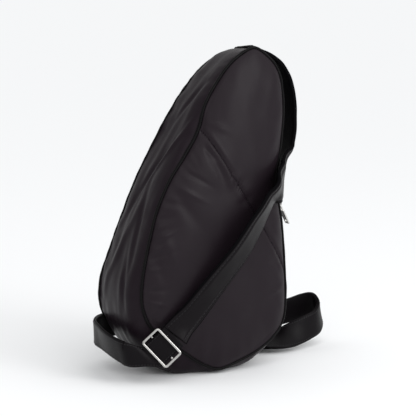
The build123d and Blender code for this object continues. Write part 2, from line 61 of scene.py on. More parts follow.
MID = [(8, -1.5), (-15, -1.5), (-40, -1.0), (-65, 12), (-88, 36), (-102, 62),
       (-106, 92), (-104, 119), (-94, 147), (-83.5, 176), (-72, 208),
       (-55.5, 242), (-36, 273), (-18, 302), (-3, 331), (14, 354.5),
       (33, 375), (53, 389), (74, 393), (91, 386), (104, 374), (110.5, 354),
       (111, 315), (110, 270), (109, 231), (111, 196), (111.1, 122),
       (111, 75), (102, 44), (83, 18), (56, 1.5), (32, -1.5)]
STRAP = [
    ((78.0, -23.5, 396.2), (76.0, 24.5, 393.4), 3.4),
    ((90.0, -23.8, 391.4), (89.0, 24.6, 388.6), 4.4),
    ((100.0, -24.4, 387.4), (99.5, 25.0, 384.4), 5.0),
    ((109.0, -25.0, 382.0), (108.6, 25.0, 379.4), 5.0),
    ((117.3, -25.0, 375.6), (117.3, 25.0, 373.0), 5.0),
    ((124.2, -25.0, 366.6), (124.2, 25.0, 364.2), 5.0),
    ((130.0, -25.2, 356.0), (130.0, 24.8, 353.8), 5.0),
    ((134.3, -26.0, 340.2), (134.3, 24.0, 338.2), 5.0),
    ((136.6, -26.5, 323.5), (137.6, 23.4, 321.5), 5.0),
    ((136.8, -27.0, 307.8), (139.8, 22.8, 305.8), 5.0),
    ((135.4, -29.0, 287.6), (141.4, 20.6, 285.6), 5.0),
    ((127.3, -34.0, 266.5), (139.9, 14.3, 263.5), 5.0),
    ((112.0, -43.5, 251.4), (131.6, 1.9, 245.4), 5.0),
    ((95.0, -63.6, 236.4), (119.8, -22.0, 227.0), 4.0),
    ((75.4, -82.3, 228.4), (99.4, -55.8, 219.1), 4.2),
    ((61.0, -88.6, 219.6), (84.4, -60.0, 206.3), 4.8),
    ((49.2, -92.2, 207.7), (73.6, -63.4, 190.0), 4.8),
    ((34.6, -92.2, 190.9), (60.8, -67.4, 170.5), 4.8),
    ((14.2, -92.0, 165.4), (40.5, -72.4, 144.0), 4.6),
    ((-4.7, -89.0, 144.1), (20.5, -73.6, 122.0), 4.4),
    ((-26.6, -84.0, 119.2), (-3.0, -74.2, 96.4), 4.2),
    ((-46.5, -76.8, 94.4), (-25.0, -74.6, 71.6), 3.9),
    ((-60.0, -71.8, 81.2), (-40.6, -77.8, 58.0), 3.5),
    ((-69.3, -68.3, 71.4), (-50.9, -82.4, 47.8), 3.0),
]
BC = Vector((-75.2, -70.0, 44.6))
BT = Vector((-0.688, 0.243, -0.683)).normalized()
BW = Vector((0.558, -0.425, -0.713)).normalized()
BN = BT.cross(BW).normalized()
RB = Vector((98.0, 17.0, 8.6))
RW = Vector((-0.25, -0.967, 0.03)).normalized()
RT = Vector((-0.967, 0.25, 0.0)).normalized()
WEB = [
    ((-100.8, -61.0, 36.3), (0.466, -0.270, -0.843)),
    ((-113.9, -54.5, 37.8), (0.260, -0.088, -0.961)),
    ((-118.8, -38.0, 40.4), (0.270, -0.060, -0.960)),
    ((-121.0, -16.0, 43.6), (0.250, -0.050, -0.967)),
    ((-119.0, 10.0, 46.0), (0.180, 0.000, -0.984)),
    ((-114.5, 35.0, 47.0), (0.050, 0.050, -0.998)),
    ((-95.0, 58.0, 47.0), (0.000, 0.080, -0.997)),
    ((-58.0, 68.0, 46.5), (0.000, 0.060, -0.998)),
    ((-15.0, 70.0, 45.0), (0.000, 0.000, -1.000)),
    ((35.0, 69.0, 42.0), (0.000, 0.000, -1.000)),
    ((80.0, 65.5, 38.5), (0.030, 0.000, -0.999)),
    ((125.0, 59.5, 35.5), (0.060, 0.000, -0.998)),
    ((158.0, 53.0, 37.0), (0.110, 0.000, -0.994)),
    ((179.5, 48.0, 42.0), (0.217, 0.000, -0.976)),
    ((195.5, 42.5, 47.5), (0.320, 0.000, -0.947)),
    ((205.0, 33.5, 49.5), (0.330, -0.020, -0.943)),
    ((205.0, 19.5, 41.4), (0.161, -0.069, -0.985)),
    ((193.5, 8.0, 32.0), (0.029, -0.098, -0.995)),
    ((173.5, 3.0, 26.0), (-0.078, -0.223, -0.972)),
    ((153.7, 1.6, 20.6), (-0.181, -0.478, -0.860)),
    ((137.2, 3.0, 15.6), (-0.310, -0.741, -0.595)),
    ((123.0, 7.5, 11.4), (-0.330, -0.915, -0.230)),
    ((111.0, 13.0, 9.4), (-0.290, -0.956, 0.010)),
]
K = 1.0


def closed_spline(pts, n):
    """Periodic Catmull-Rom through pts, n samples, sample 0 at pts[0]."""
    p = np.array(pts, float)
    m = len(p)
    t = np.arange(n) * m / n
    i = np.floor(t).astype(int)
    u = (t - i)[:, None]
    a, b, c, d = p[(i - 1) % m], p[i % m], p[(i + 1) % m], p[(i + 2) % m]
    return 0.5 * (2 * b + (c - a) * u + (2 * a - 5 * b + 4 * c - d) * u * u
                  + (3 * b - a - 3 * c + d) * u ** 3)


def smooth(points, steps):
    out, n = [], len(points)
    for i in range(n - 1):
        p0, p1 = points[max(i - 1, 0)], points[i]
        p2, p3 = points[i + 1], points[min(i + 2, n - 1)]
        for j in range(steps):
            u = j / steps
            out.append([0.5 * (2 * b + (c - a) * u + (2 * a - 5 * b + 4 * c - d) * u * u
                               + (3 * b - a - 3 * c + d) * u ** 3)
                        for a, b, c, d in zip(p0, p1, p2, p3)])
    out.append(list(points[-1]))
    return out


def nz(x, y, z, s):
    """Noise at arrays of points, s is the cell size in mm."""
    return np.array([noise.noise(Vector((a / s, b / s, c / s)))
                     for a, b, c in zip(x.ravel(), y.ravel(), z.ravel())]).reshape(x.shape)


def inset2(p, d):
    t = np.roll(p, -1, 0) - np.roll(p, 1, 0)
    t /= np.linalg.norm(t, axis=1)[:, None]
    return np.stack([p[:, 0] + d * t[:, 1], p[:, 1] - d * t[:, 0]], 1)


def out2(p):
    t = np.roll(p, -1, 0) - np.roll(p, 1, 0)
    t /= np.linalg.norm(t, axis=1)[:, None]
    return np.stack([-t[:, 1], t[:, 0]], 1)


def mesh_obj(name, verts, faces, body="bag_body", smooth_shade=True):
    me = bpy.data.meshes.new(name)
    me.from_pydata([tuple(np.array(v) * MM) for v in verts], [], faces)
    me.validate()
    me.update()
    if smooth_shade:
        me.polygons.foreach_set("use_smooth", [True] * len(me.polygons))
    ob = bpy.data.objects.new(name, me)
    bpy.context.scene.collection.objects.link(ob)
    return ob


def recalc(ob):
    bm = bmesh.new()
    bm.from_mesh(ob.data)
    bmesh.ops.recalc_face_normals(bm, faces=bm.faces)
    bm.to_mesh(ob.data)
    bm.free()


def grid_faces(n, m, wrap_i=True):
    f = []
    for j in range(m - 1):
        for i in range(n if wrap_i else n - 1):
            a, b = j * n + i, j * n + (i + 1) % n
            f.append((a, b, b + n, a + n))
    return f


# ----------------------------------------------------------------- materials
def material(name, color, rough, metal=0.0, sheen=0.0, bump=None, spec=0.5,
             coat=0.0, mottling=0.0):
    m = bpy.data.materials.new(name)
    m.use_nodes = True
    nt = m.node_tree
    b = nt.nodes["Principled BSDF"]
    b.inputs["Base Color"].default_value = (*color, 1)
    b.inputs["Roughness"].default_value = rough
    b.inputs["Metallic"].default_value = metal
    b.inputs["Specular IOR Level"].default_value = spec
    if sheen:
        b.inputs["Sheen Weight"].default_value = sheen
        b.inputs["Sheen Roughness"].default_value = 0.45
        b.inputs["Sheen Tint"].default_value = (0.92, 0.88, 0.95, 1)
    if coat:
        b.inputs["Coat Weight"].default_value = coat
    tc = nt.nodes.new("ShaderNodeTexCoord")
    last = None
    for kind, scale, strength in bump or []:
        if kind == "noise":
            tex = nt.nodes.new("ShaderNodeTexNoise")
            tex.inputs["Scale"].default_value = scale
            tex.inputs["Detail"].default_value = 3.0
            out = tex.outputs["Fac"]
        elif kind == "voronoi":
            tex = nt.nodes.new("ShaderNodeTexVoronoi")
            tex.inputs["Scale"].default_value = scale
            out = tex.outputs["Distance"]
        else:
            tex = nt.nodes.new("ShaderNodeTexWave")
            tex.bands_direction = kind
            tex.inputs["Scale"].default_value = scale
            out = tex.outputs["Fac"]
        nt.links.new(tc.outputs["Object"], tex.inputs["Vector"])
        bp = nt.nodes.new("ShaderNodeBump")
        bp.inputs["Strength"].default_value = strength
        bp.inputs["Distance"].default_value = 0.0006
        nt.links.new(out, bp.inputs["Height"])
        if last:
            nt.links.new(last.outputs["Normal"], bp.inputs["Normal"])
        last = bp
    if last:
        nt.links.new(last.outputs["Normal"], b.inputs["Normal"])
    if mottling:
        tex = nt.nodes.new("ShaderNodeTexNoise")
        tex.inputs["Scale"].default_value = 14.0
        tex.inputs["Detail"].default_value = 5.0
        nt.links.new(tc.outputs["Object"], tex.inputs["Vector"])
        ramp = nt.nodes.new("ShaderNodeMapRange")
        ramp.inputs["To Min"].default_value = rough - mottling
        ramp.inputs["To Max"].default_value = rough + mottling
        nt.links.new(tex.outputs["Fac"], ramp.inputs["Value"])
        nt.links.new(ramp.outputs["Result"], b.inputs["Roughness"])
    return m


M = {
    "shell": material("microfibre", (0.0118, 0.0078, 0.0108), 0.40, sheen=0.01, spec=0.13,
                      bump=[("noise", 900, 0.12), ("voronoi", 1500, 0.08)], mottling=0.05),
    # The gussets are the same fabric as the panels; this darker copy of the shell fabric is painted shade on them.
    "side": material("microfibre_painted_shade", (0.0088, 0.0050, 0.0080), 0.40, sheen=0.01, spec=0.11,
                     bump=[("noise", 900, 0.12), ("voronoi", 1500, 0.08)], mottling=0.05),
    "strap": material("strap_microfibre", (0.0046, 0.0034, 0.0044), 0.38, sheen=0.0, spec=0.09,
                      bump=[("noise", 900, 0.12), ("voronoi", 1500, 0.08)], mottling=0.05),
    "strap_in": material("strap_lining", (0.0026, 0.0024, 0.0030), 0.8, sheen=0.0, spec=0.03,
                         bump=[("noise", 1500, 0.3)]),
    # Piping colour, far darker than the shell fabric: the cord's own dark tone plus painted shade of the crease
    # along the seams.
    "piping": material("piping", (0.0028, 0.0025, 0.0028), 0.45, sheen=0.0, spec=0.08,
                       bump=[("noise", 1200, 0.15)]),
    "webbing": material("webbing", (0.0046, 0.0036, 0.0046), 0.36, sheen=0.0, spec=0.08,
                        bump=[("noise", 2200, 0.25)]),
    "tape": material("zip_tape", (0.004, 0.004, 0.0045), 0.8, spec=0.1, bump=[("noise", 2500, 0.3)]),
    "coil": material("zip_coil", (0.006, 0.006, 0.0065), 0.3, spec=0.3),
    "nickel": material("nickel", (0.50, 0.49, 0.475), 0.12, metal=1.0,
                       bump=[("noise", 500, 0.02)]),
    "thread": material("thread", (0.012, 0.011, 0.013), 0.5, spec=0.3),
    "lining": material("lining", (0.02, 0.02, 0.022), 0.7),
    "inside": material("inside", (0.30, 0.30, 0.31), 0.9),
}


def place(ob, mat, body="bag_body", nodes=()):
    ob.data.materials.clear()
    ob.data.materials.append(M[mat])
    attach(ob, body)
    if nodes:
        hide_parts(*nodes)
    return ob


def solidify(ob, t):
    md = ob.modifiers.new("wall", "SOLIDIFY")
    md.thickness = t * MM
    md.offset = -1.0
    md.use_rim = True


# ----------------------------------------------------------- crowned panels
NA = 384


def panel_point(p2, plane, d):
    """p2 (n,2) sketch points on the plane (y0, lean), d out of the bag."""
    y0, lean = plane
    q = math.sqrt(1 + lean * lean)
    sgn = 1.0 if y0 < 0 else -1.0
    nrm = np.array([0, -1, lean]) / q * sgn
    o = np.array([0, y0, 0.0])
    up = np.array([0, lean, 1.0]) / q
    return (o + p2[:, :1] * np.array([1.0, 0, 0]) + p2[:, 1:2] * up
            + np.asarray(d)[:, None] * nrm)


SEAM_P = np.array([50.6, 209.0])
SEAM_T = np.array([0.529, -0.848])
SEAM_N = np.array([0.848, 0.529])


def front_fold(x, z, k):
    """Height change of the front panel in mm at sketch points."""
    s = (x - SEAM_P[0]) * SEAM_T[0] + (z - SEAM_P[1]) * SEAM_T[1]
    d = (x - SEAM_P[0]) * SEAM_N[0] + (z - SEAM_P[1]) * SEAM_N[1]
    zero = np.zeros_like(x)
    h = -1.7 * np.exp(-(d / 1.8) ** 2) + 0.5 * np.exp(-((np.abs(d) - 5.0) / 2.6) ** 2)
    h += 0.8 * nz(s * 2.6, d * 0.4, zero, 26.0) * np.exp(-(d / 12.0) ** 2)
    h += 2.2 * nz(x, z * 0.8, zero + 7, 58.0) + 0.75 * nz(x, z * 0.6, zero + 3, 21.0)
    rim = (1 - k) * 95.0
    ang = np.arctan2(z - 195, x - 12) * 150.0
    left = 1.0 / (1.0 + np.exp((x + 10) / 18.0))
    h += (0.8 + 1.1 * left) * nz(ang, zero, rim * 0.25, 14.0) * np.exp(-((rim - 6) / 13.0) ** 2)
    for cx, cz, dx, dz, ln, wd, a in ((-66, 176, 0.95, 0.30, 13, 2.6, 1.5),
                                      (-74, 152, 0.97, 0.22, 15, 2.8, -1.5),
                                      (-78, 136, 0.99, 0.10, 13, 2.4, 1.4),
                                      (-79, 112, 1.0, -0.05, 14, 2.8, -1.5),
                                      (-80, 96, 0.97, -0.22, 13, 2.4, 1.3),
                                      (-70, 66, 0.85, -0.50, 13, 2.6, -1.3),
                                      (-32, 226, 0.87, -0.48, 18, 3.0, 1.4),
                                      (-20, 244, 0.85, -0.52, 16, 2.6, -1.5),
                                      (4, 270, 0.80, -0.60, 14, 2.6, -1.3),
                                      (16, 302, 0.9, -0.42, 12, 2.6, 1.1),
                                      (88, 96, 0.95, 0.30, 12, 2.8, 1.2),
                                      (90, 130, 0.98, -0.1, 12, 2.8, -1.1)):
        u = (x - cx) * dx + (z - cz) * dz
        v = -(x - cx) * dz + (z - cz) * dx
        h += a * np.exp(-(u / ln) ** 2 - (v / wd) ** 2)
    # soft hollows beside the seam, high on the left
    for cx, cz, ax, az, r1, r2, a in ((8, 262, 0.45, -0.9, 26, 7, -2.6),
                                      (22, 248, 0.3, -0.95, 20, 5, 1.4),
                                      (-38, 214, 0.5, -0.86, 30, 8, -1.8),
                                      (-62, 168, 0.3, -0.95, 26, 6, 1.3),
                                      (-72, 140, 0.35, -0.93, 22, 6, -1.5),
                                      (40, 60, 0.9, 0.4, 40, 12, -1.2)):
        u = (x - cx) * ax + (z - cz) * az
        v = -(x - cx) * az + (z - cz) * ax
        h += a * np.exp(-(u / r1) ** 2 - (v / r2) ** 2)
    return h


def panel(name, outline, plane, crown, fold, rings=70):
    rim = inset2(closed_spline(outline, NA), 1.6)
    c = np.array([12.0, 195.0])
    ks = np.concatenate([np.linspace(1.0, 0.80, rings // 2, endpoint=False),
                         np.linspace(0.80, 0.02, rings // 2)])
    V = []
    # tuck under the piping first
    V.append(panel_point(c + (rim - c) * 1.0, plane, np.full(NA, -2.2)))
    for k in ks:
        p = c + (rim - c) * k
        h = crown * (1 - k ** 4) ** 0.75 * np.ones(NA)
        fade = min(1.0, (1 - k) * 28)
        h = h + fade * fold(p[:, 0], p[:, 1], np.full(NA, k))
        V.append(panel_point(p, plane, h))
    n = len(V)
    V = np.concatenate(V)
    F = grid_faces(NA, n)
    V = np.vstack([V, V[-NA:].mean(0)])
    last = (n - 1) * NA
    F += [(last + i, last + (i + 1) % NA, len(V) - 1) for i in range(NA)]
    ob = mesh_obj(name, V, F)
    recalc(ob)
    return ob


def cut(ob, co, no, keep_outer=True):
    bm = bmesh.new()
    bm.from_mesh(ob.data)
    geom = bm.verts[:] + bm.edges[:] + bm.faces[:]
    bmesh.ops.bisect_plane(bm, geom=geom, plane_co=Vector(co) * MM, plane_no=Vector(no),
                           clear_inner=keep_outer, clear_outer=not keep_outer)
    bm.to_mesh(ob.data)
    bm.free()


def copy(ob, name):
    c = ob.copy()
    c.data = ob.data.copy()
    c.name = name
    c.data.name = name
    bpy.context.scene.collection.objects.link(c)
    return c


whole = panel("front_panel_upper_cloth", FRONT, (FRONT_Y0, FRONT_LEAN), FRONT_CROWN, front_fold)
lower = copy(whole, "front_panel_lower_cloth")
cut(whole, (50.6, -60, 209), (0.848, 0, 0.529), True)
cut(lower, (50.6, -60, 209), (0.848, 0, 0.529), False)
for ob, nodes in ((whole, ["front_panel_upper"]), (lower, ["front_panel_lower", "front_padding"])):
    solidify(ob, 1.6)
    place(ob, "shell", nodes=nodes)


def back_fold(x, z, k):
    zero = np.zeros_like(x)
    rim = (1 - k) * 95.0
    ang = np.arctan2(z - 195, x - 12) * 150.0
    h = 2.4 * nz(x, z * 0.7, zero + 31, 58.0) + 0.8 * nz(x, z * 0.6, zero + 13, 20.0)
    h += 1.7 * nz(ang, zero + 5, rim * 0.25, 13.0) * np.exp(-((rim - 7) / 14.0) ** 2)
    for cx, cz, ax, az, r1, r2, a in ((-20, 110, 0.8, 0.6, 60, 7, -2.0), (10, 90, 0.75, 0.66, 50, 5, 1.4),
                                      (40, 250, 0.5, -0.87, 55, 8, -1.8), (60, 320, 0.9, 0.4, 30, 6, -1.4),
                                      (-50, 160, 0.4, -0.92, 35, 6, 1.4)):
        u = (x - cx) * ax + (z - cz) * az
        v = -(x - cx) * az + (z - cz) * ax
        h += a * np.exp(-(u / r1) ** 2 - (v / r2) ** 2)
    return h


bp_ob = panel("back_panel_cloth", BACK, (BACK_Y0, BACK_LEAN), BACK_CROWN, back_fold)
solidify(bp_ob, 1.6)
place(bp_ob, "shell", nodes=["back_panel", "back_padding"])

# ------------------------------------------------------------------- gusset
Fc, Bc, Mc = (closed_spline(o, NA) for o in (FRONT, BACK, MID))
rows_f = 72
V = []
for j in range(rows_f):
    u = j / (rows_f - 1)
    f = 0.5 - 0.5 * math.cos(math.pi * u)
    f = 0.6 * f + 0.4 * u
    s = 1.0 - abs(2 * f - 1) ** 5
    e = Fc + (Bc - Fc) * f
    p = e + (Mc - e) * s
    o = out2(p)
    depth_y0 = FRONT_Y0 + (BACK_Y0 - FRONT_Y0) * f
    lean = FRONT_LEAN + (BACK_LEAN - FRONT_LEAN) * f
    x, z = p[:, 0], p[:, 1]
    y = depth_y0 + lean * z
    # keep the first and last rows just behind the piping
    dy = (BACK_Y0 + BACK_LEAN * z) - (FRONT_Y0 + FRONT_LEAN * z)
    y = (FRONT_Y0 + FRONT_LEAN * z) + 1.6 + (dy - 3.2) * f
    arc = np.arange(NA) / NA * 1000.0
    zero = np.zeros(NA)
    d1, d2 = f * dy, (1 - f) * dy
    left = 1.0 / (1.0 + np.exp((x - 40) / 16.0)) * 1.0
    h = 1.2 * nz(x, z, y, 55.0) + 0.45 * nz(x, z, y, 20.0)
    h = h + left * 1.3 * nz(zero + y * 1.0, arc * 0.14, zero, 11.0) * min(1.0, 4 * f * (1 - f))
    h = h + (0.5 + 0.9 * left) * nz(arc * 1.0, d1 * 0.25, zero + 3, 13.0) * np.exp(-((d1 - 5) / 9.0) ** 2)
    h = h + (0.5 + 0.9 * left) * nz(arc * 1.0, d2 * 0.25, zero + 9, 14.0) * np.exp(-((d2 - 5) / 9.0) ** 2)
    # diagonal creases on the long left side
    for cz, cy, az, ay, r1, r2, a in ((262, -10, 0.94, -0.34, 42, 5.0, 2.2),
                                      (232, 4, 0.94, -0.34, 50, 7.0, -2.0),
                                      (190, -18, 0.98, 0.2, 46, 6.0, -1.6),
                                      (150, 10, 0.96, -0.28, 60, 8.0, 1.6),
                                      (120, -22, 0.97, 0.24, 34, 5.5, -1.5),
                                      (330, -4, 0.9, -0.42, 26, 5.0, -1.4)):
        uu = (z - cz) * az + (y - cy) * ay
        vv = -(z - cz) * ay + (y - cy) * az
        h = h + left * 1.35 * a * np.exp(-(uu / r1) ** 2 - (vv / (0.75 * r2)) ** 2)
    flat = np.clip((z - 3.0) / 12.0, 0, 1)
    zipzone = np.exp(-((y - (ZIP_Y0 + FRONT_LEAN * z)) / 12.0) ** 2) * (x > 95) * (z < 225) * (z > 60)
    fade = min(1.0, j / 5.0, (rows_f - 1 - j) / 5.0)
    h = h * flat * (1 - 0.85 * zipzone) * fade
    tuck = 2.2 * max(0.0, 1 - j / 2.0) + 2.2 * max(0.0, 1 - (rows_f - 1 - j) / 2.0)
    q = p + o * (h - tuck)[:, None]
    q[:, 1] = np.maximum(q[:, 1], 0.05)
    V.append(np.stack([q[:, 0], y, q[:, 1]], 1))
V = np.concatenate(V)
skin = mesh_obj("gusset", V, grid_faces(NA, rows_f))
recalc(skin)
CUT_X, CUT_Z = 88.0, 62.0
zn = Vector((0, -1, FRONT_LEAN)).normalized()
zk = Vector((0, FRONT_LEAN, 1)).normalized()
zo = Vector((ZIP_X, ZIP_Y0 + FRONT_LEAN * ZIP_Z, ZIP_Z))


def zip_at(x, y, z):
    """Zip frame: x backwards across, y up the chain, z out."""
    return zo - zn * x + zk * y + Vector((z, 0, 0))


def split(ob, co, no):
    bm = bmesh.new()
    bm.from_mesh(ob.data)
    bmesh.ops.bisect_plane(bm, geom=bm.verts[:] + bm.edges[:] + bm.faces[:],
                           plane_co=Vector(co) * MM, plane_no=Vector(no))
    bm.to_mesh(ob.data)
    bm.free()


for co, no in (((CUT_X, 0, 0), (1, 0, 0)), ((0, 0, CUT_Z), (0, 0, 1)), ((-50, 0, 0), (1, 0, 0)),
               (zip_at(-SLOT_HALF, 0, 0), zn), (zip_at(SLOT_HALF, 0, 0), zn), (zip_at(0, 0, 0), zn),
               (zip_at(0, SLOT_LOW, 0), zk), (zip_at(0, SLOT_HIGH, 0), zk)):
    split(skin, co, no)


def region(c):
    if c.x > -50 and c.z < CUT_Z:
        return "bottom_gusset"
    if not (c.x > CUT_X and c.z > CUT_Z):
        return "left_gusset"
    d = c - zo
    a, b = -d.dot(zn), d.dot(zk)
    if abs(a) < SLOT_HALF and SLOT_LOW < b < SLOT_HIGH:
        return None
    return "right_gusset_front" if a < 0 else "right_gusset_back"


for part_name in ("left_gusset", "bottom_gusset", "right_gusset_front", "right_gusset_back"):
    ob = copy(skin, part_name + "_cloth")
    bm = bmesh.new()
    bm.from_mesh(ob.data)
    gone = [fc for fc in bm.faces if region(fc.calc_center_median() * 1000.0) != part_name]
    bmesh.ops.delete(bm, geom=gone, context="FACES")
    bm.to_mesh(ob.data)
    bm.free()
    solidify(ob, 1.6)
    # every gusset piece gets the darker copy of the shell fabric: painted shade
    place(ob, "side", nodes=[part_name])
bpy.data.objects.remove(skin)


# -------------------------------------------------------------------- piping
def tube(name, centres, r, closed=True, seg=14, radii=None):
    c = np.array(centres, float)
    n = len(c)
    if closed:
        t = np.roll(c, -1, 0) - np.roll(c, 1, 0)
    else:
        t = np.gradient(c, axis=0)
    t /= np.linalg.norm(t, axis=1)[:, None]
    ref = np.array([0.0, 1.0, 0.0])
    a = np.cross(t, ref)
    bad = np.linalg.norm(a, axis=1) < 0.2
    a[bad] = np.cross(t[bad], np.array([0.0, 0.0, 1.0]))
    a /= np.linalg.norm(a, axis=1)[:, None]
    b = np.cross(t, a)
    V, F = [], []
    for i in range(n):
        rr = r if radii is None else radii[i]
        for k in range(seg):
            w = 2 * math.pi * k / seg
            V.append(c[i] + rr * (a[i] * math.cos(w) + b[i] * math.sin(w)))
    m = n if closed else n - 1
    for i in range(m):
        for k in range(seg):
            p, q = i * seg, ((i + 1) % n) * seg
            F.append((p + k, p + (k + 1) % seg, q + (k + 1) % seg, q + k))
    if not closed:
        F.append(tuple(range(seg))[::-1])
        F.append(tuple((n - 1) * seg + k for k in range(seg)))
    ob = mesh_obj(name, V, F)
    recalc(ob)
    return ob


for nm, outline, plane in (("front_piping", FRONT, (FRONT_Y0, FRONT_LEAN)),
                           ("back_piping", BACK, (BACK_Y0, BACK_LEAN))):
    p = closed_spline(outline, 640)
    ar = np.arange(640) * 1.7
    w = nz(ar, ar * 0, ar * 0, 14.0)
    c = panel_point(p + out2(p) * (0.35 * w)[:, None], plane, -1.0 + 0.3 * w)
    ob = tube(nm + "_cord", c, 1.9, radii=1.85 + 0.18 * nz(ar, ar * 0 + 4, ar * 0, 9.0))
    # the piping's dark colour carries painted crease shade along the seams
    place(ob, "piping", nodes=[nm])


# --------------------------------------------------------------------- ribbons
def frames(C, W, sheared=0):
    out, n = [], len(C)
    for i in range(n):
        t = (C[min(i + 1, n - 1)] - C[max(i - 1, 0)]).normalized()
        w = W[i]
        if i >= sheared:
            w = (w - t * w.dot(t)).normalized()
        out.append((C[i], w, t.cross(w).normalized()))
    return out


def loft(name, stations, profile):
    """stations: (centre, w, n, width, thick); profile(width, thick, i) -> [(a, b)]."""
    V, m = [], None
    for i, (c, w, n, wd, th) in enumerate(stations):
        pr = profile(wd, th, i)
        m = len(pr)
        for a, b in pr:
            V.append(c + w * a + n * b)
    F = []
    N = len(stations)
    for i in range(N - 1):
        for k in range(m):
            F.append((i * m + k, i * m + (k + 1) % m, (i + 1) * m + (k + 1) % m, (i + 1) * m + k))
    F.append(tuple(range(m))[::-1])
    F.append(tuple((N - 1) * m + k for k in range(m)))
    ob = mesh_obj(name, V, F)
    recalc(ob)
    return ob


rows = smooth([(*a, *b, t) for a, b, t in STRAP], 10)
near = [Vector(r[0:3]) for r in rows]
far = [Vector(r[3:6]) for r in rows]
S_C = [(a + b) * 0.5 for a, b in zip(near, far)]
S_W = [(b - a).normalized() for a, b in zip(near, far)]
S_F = frames(S_C, S_W)
S_wd = [(b - a).length for a, b in zip(near, far)]
S_th = [r[6] for r in rows]
s_len = [0.0]
for a, b in zip(S_C, S_C[1:]):
    s_len.append(s_len[-1] + (b - a).length)


def strap_cover(wd, th, i):
    """Padded face: pinched at the stitch line, thin bound edges."""
    hw = wd / 2
    top = []
    for k in range(41):
        a = -hw + wd * k / 40
        e = max(0.0, hw - abs(a))
        puff = min(1.0, max(0.0, (e - 3.4) / 3.6))
        puff = puff * puff * (3 - 2 * puff)
        lip = min(1.0, e / 0.9) ** 0.5
        t_edge = min(1.3, th / 2)
        h = (t_edge + (th / 2 + 0.5 - t_edge) * puff) * (0.45 + 0.55 * lip)
        h -= 0.55 * math.exp(-((e - 3.9) / 0.55) ** 2)
        h += noise.noise(Vector((s_len[i] / 20.0, a / 26.0, 2.0))) * 0.8 * puff
        top.append((a, h))
    return top + [(a, 0.15) for a, _ in reversed(top)][1:-1]


def strap_back(wd, th, i):
    """Mesh back: full thickness out to a rounded side wall, 0.9 mm wider than the cover on each side; its dark rim
    is the lining and also painted shade, standing in for the shadow beside the strap's edge.
    """
    hw = wd / 2 + 0.9
    low = []
    for k in range(33):
        w = math.pi * k / 32
        ca, sa = math.cos(w), math.sin(w)
        a = hw * math.copysign(abs(ca) ** 0.28, ca)
        low.append((a, 0.25 - (th / 2 + 2.2) * abs(sa) ** 0.35))
    return low


st = [(f[0], f[1], f[2], w, t) for f, w, t in zip(S_F, S_wd, S_th)]
ob = loft("strap_outer", st, strap_cover)
place(ob, "strap", nodes=["strap_cover_outer", "strap_foam"])
# the dark mesh back, widened past the cover, is the lining and also painted shade beside the strap's edges
ob = loft("strap_inner", st, strap_back)
place(ob, "strap_in", nodes=["strap_cover_inner"])


def stitches(name, pts, normals, length=3.0, pitch=4.4, r=0.42, body="bag_body"):
    """A row of short thread capsules along a polyline."""
    P = [Vector(p) for p in pts]
    L = [0.0]
    for a, b in zip(P, P[1:]):
        L.append(L[-1] + (b - a).length)

    def at(s):
        i = int(np.searchsorted(L, s)) - 1
        i = max(0, min(i, len(P) - 2))
        u = (s - L[i]) / max(1e-9, L[i + 1] - L[i])
        return P[i].lerp(P[i + 1], u), normals[i]

    V, F = [], []
    s = pitch
    while s < L[-1] - pitch:
        a, n = at(s)
        b, _ = at(s + length)
        t = (b - a).normalized()
        side = t.cross(n).normalized()
        base = len(V)
        for u, k in ((0.0, 0.35), (0.2, 1.0), (0.8, 1.0), (1.0, 0.35)):
            c = a.lerp(b, u) + n * (0.10 if k > 0.5 else -0.15)
            for q in range(6):
                w = math.pi * 2 * q / 6
                V.append(c + (n * math.sin(w) + side * math.cos(w)) * r * k)
        for j in range(3):
            for q in range(6):
                F.append((base + j * 6 + q, base + j * 6 + (q + 1) % 6,
                          base + (j + 1) * 6 + (q + 1) % 6, base + (j + 1) * 6 + q))
        F.append(tuple(base + q for q in range(6))[::-1])
        F.append(tuple(base + 18 + q for q in range(6)))
        s += pitch
    ob = mesh_obj(name, V, F)
    place(ob, "thread", body=body)
    return ob


for sgn, nm in ((-1, "near"), (1, "far")):
    pts = [f[0] + f[1] * sgn * (w / 2 - 3.9) + f[2] * (min(1.3, t / 2) - 0.25)
           for f, w, t in zip(S_F, S_wd, S_th)]
    stitches("strap_stitch_" + nm, pts, [f[2] for f in S_F])

# -------------------------------------------------------------------- webbing
rows = smooth([(*(BC + BT * 17.0), *BW)] + [(*c, *w) for c, w in WEB] + [(*RB, *RW)], 8)
C = [Vector(r[0:3]) for r in rows]
W = [Vector(r[3:6]).normalized() for r in rows]
F_ = frames(C, W, 18)
F_[0] = (C[0], BW, BN)
path = [0.0]
for a, b in zip(C, C[1:]):
    path.append(path[-1] + (b - a).length)
total = path[-1]


def spread(i):
    q = max(0.0, 1.0 - (total - path[i]) / 26.0)
    return 1.15 + 3.25 * q * q * (3 - 2 * q)


def ramp(i):
    s = min(1.0, path[i] / 14.0)
    return s * s * (3 - 2 * s)


WW, WT = 32.0, 1.7
run = []
for s in np.linspace(-20.6, 15.5, 26):
    bow = 0.35 * math.exp(-(s / 5.0) ** 2)
    run.append((BC + BT * float(s) + BN * bow, BW, BN, WW, WT))
for i in range(len(F_) - 1):
    c, w, n = F_[i]
    run.append((c + n * (spread(i) * ramp(i)), w, n, WW, WT))
nb = RT.cross(RW).normalized()
for k in range(0, 17):
    a = math.pi * k / 16
    rad = nb * math.cos(a) + RT * math.sin(a)
    run.append((RB + rad * spread(len(F_) - 1), RW, rad, WW, WT))
for i in range(len(F_) - 2, -1, -1):
    if path[i] > 8.0:
        c, w, n = F_[i]
        run.append((c - n * spread(i), w, n * -1.0, WW, WT))


def web_profile(wd, th, i):
    hw, ht = wd / 2, th / 2
    out = []
    for k in range(17):
        a = -hw + wd * k / 16
        e = min(1.0, (hw - abs(a)) / 0.9)
        hem = 0.22 * math.exp(-(((hw - abs(a)) - 2.2) / 0.8) ** 2)
        out.append((a, ht * (0.45 + 0.55 * math.sqrt(max(e, 0))) - hem))
    low = [(a, -b) for a, b in reversed(out)]
    return out + low


